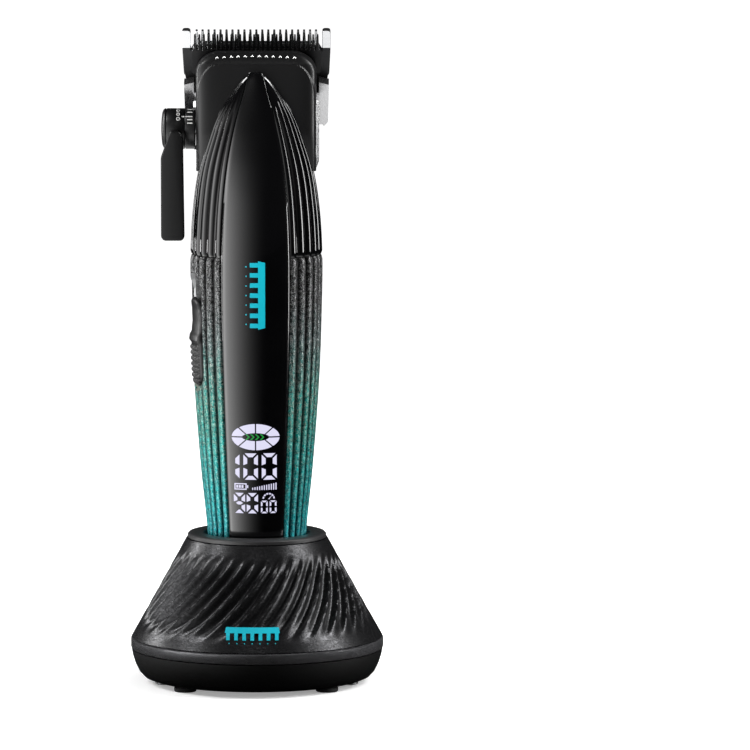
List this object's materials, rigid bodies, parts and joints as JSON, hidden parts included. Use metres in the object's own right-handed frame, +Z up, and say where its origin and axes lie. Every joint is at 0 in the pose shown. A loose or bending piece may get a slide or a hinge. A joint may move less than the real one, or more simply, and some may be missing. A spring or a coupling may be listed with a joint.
{
  "type": "hair clipper",
  "caption": "Cordless hair clipper with a ribbed tapered body, wide toothed blade and side taper lever, standing in a round cone-shaped charging dock.",
  "frame": {"origin": "centre of the dock's foot circle, on the surface it stands on", "axes": "+Z up along the clipper's body towards the blade; -Y out of the front with the display; +X to the right seen from the front"},
  "size_m": [0.0788, 0.0788, 0.2038],
  "materials": {
    "black_abs": "moulded satin",
    "gloss_black_abs": "polished mould gloss",
    "flecked_black_abs": "black lacquer with fine metallic flecks",
    "teal_lacquer": "crackle lacquer, black fading to teal",
    "display_window": "tinted clear window",
    "satin_grey": "satin grey",
    "polished_band": "polished band",
    "ground_steel": "ground and polished",
    "black_steel": "black coated",
    "silver_zinc": "satin plated",
    "gilt_brass": "gold plated",
    "black_rubber": "moulded rubber",
    "circuit_board": "solder mask",
    "cell_wrap": "shrink wrap",
    "motor_can": "zinc plated can",
    "acetal": "natural acetal",
    "cast_weight": "cast ballast",
    "display_glass": "display face"
  },
  "bodies": {
    "dock": {"dock_shell": "flecked_black_abs", "dock_top_ring": "satin_grey", "dock_seat_cup": "black_abs", "dock_band": "polished_band", "dock_tray": "black_abs", "dock_weight": "cast_weight", "dock_board": "circuit_board", "contact_block": "black_abs", "dock_inlet": "silver_zinc", "dock_screw_1": "silver_zinc", "dock_screw_2": "silver_zinc", "dock_screw_3": "silver_zinc", "dock_screw_4": "silver_zinc", "dock_foot_rear_right": "black_rubber", "dock_foot_rear_left": "black_rubber", "dock_foot_front_left": "black_rubber", "dock_foot_front_right": "black_rubber"},
    "charge_pin_left": {"charge_pin_left": "gilt_brass"},
    "charge_pin_right": {"charge_pin_right": "gilt_brass"},
    "clipper": {"bottom_cap": "black_abs", "charging_contact_left": "gilt_brass", "charging_contact_right": "gilt_brass", "power_jack": "silver_zinc", "lower_shell": "teal_lacquer", "upper_shell": "gloss_black_abs", "display_panel": "display_window", "battery_cell": "cell_wrap", "battery_cradle": "black_abs", "main_board": "circuit_board", "display_module": "display_glass", "switch_base": "black_abs", "motor": "motor_can", "motor_mount": "black_abs", "face_shell": "black_abs", "rear_cover": "silver_zinc", "fixed_blade": "ground_steel", "blade_bracket": "silver_zinc", "blade_screw_left": "ground_steel", "blade_screw_right": "ground_steel", "lever_boss": "black_abs"},
    "power_switch": {"power_switch": "black_abs"},
    "crank": {"eccentric": "ground_steel"},
    "taper_lever": {"lever_hub": "black_abs", "lever_cap": "black_abs", "lever_shaft": "ground_steel", "taper_cam": "ground_steel", "lever_arm": "black_abs"},
    "taper_carriage": {"taper_carriage": "black_abs", "taper_link": "ground_steel", "cutter_spring": "ground_steel"},
    "cutter": {"cutter_blade": "black_steel", "drive_fork": "acetal"}
  },
  "joints": [
    {"name": "clipper_lift", "type": "slide", "parent": "dock", "child": "clipper", "axis": [0, 0, 1], "range_m": [0, 0.06]},
    {"name": "charge_pin_left_press", "type": "slide", "parent": "dock", "child": "charge_pin_left", "axis": [0, 0, 1], "range_m": [-0.001, 0], "stiffness_N_per_m": 150, "springref_m": 0.0005},
    {"name": "charge_pin_right_press", "type": "slide", "parent": "dock", "child": "charge_pin_right", "axis": [0, 0, 1], "range_m": [-0.001, 0], "stiffness_N_per_m": 150, "springref_m": 0.0005},
    {"name": "power_switch_slide", "type": "slide", "parent": "clipper", "child": "power_switch", "axis": [0, 0, 1], "range_m": [0, 0.0045]},
    {"name": "crank_spin", "type": "hinge", "parent": "clipper", "child": "crank", "pos_m": [0, 0.0024, 0.166], "axis": [0, 0, 1], "continuous": true},
    {"name": "taper_lever_turn", "type": "hinge", "parent": "clipper", "child": "taper_lever", "pos_m": [-0.025, 0.001, 0.1728], "axis": [1, 0, 0], "range_deg": [-35, 0]},
    {"name": "taper_carriage_slide", "type": "slide", "parent": "clipper", "child": "taper_carriage", "axis": [0, -0.342, 0.9397], "range_m": [-0.0016, 0]},
    {"name": "cutter_stroke", "type": "slide", "parent": "taper_carriage", "child": "cutter", "axis": [1, 0, 0], "range_m": [-0.001, 0.001]}
  ],
  "couplings": [
    {"joint": "taper_carriage_slide", "follows": "taper_lever_turn", "m_per_rad": 0.0024555}
  ]
}
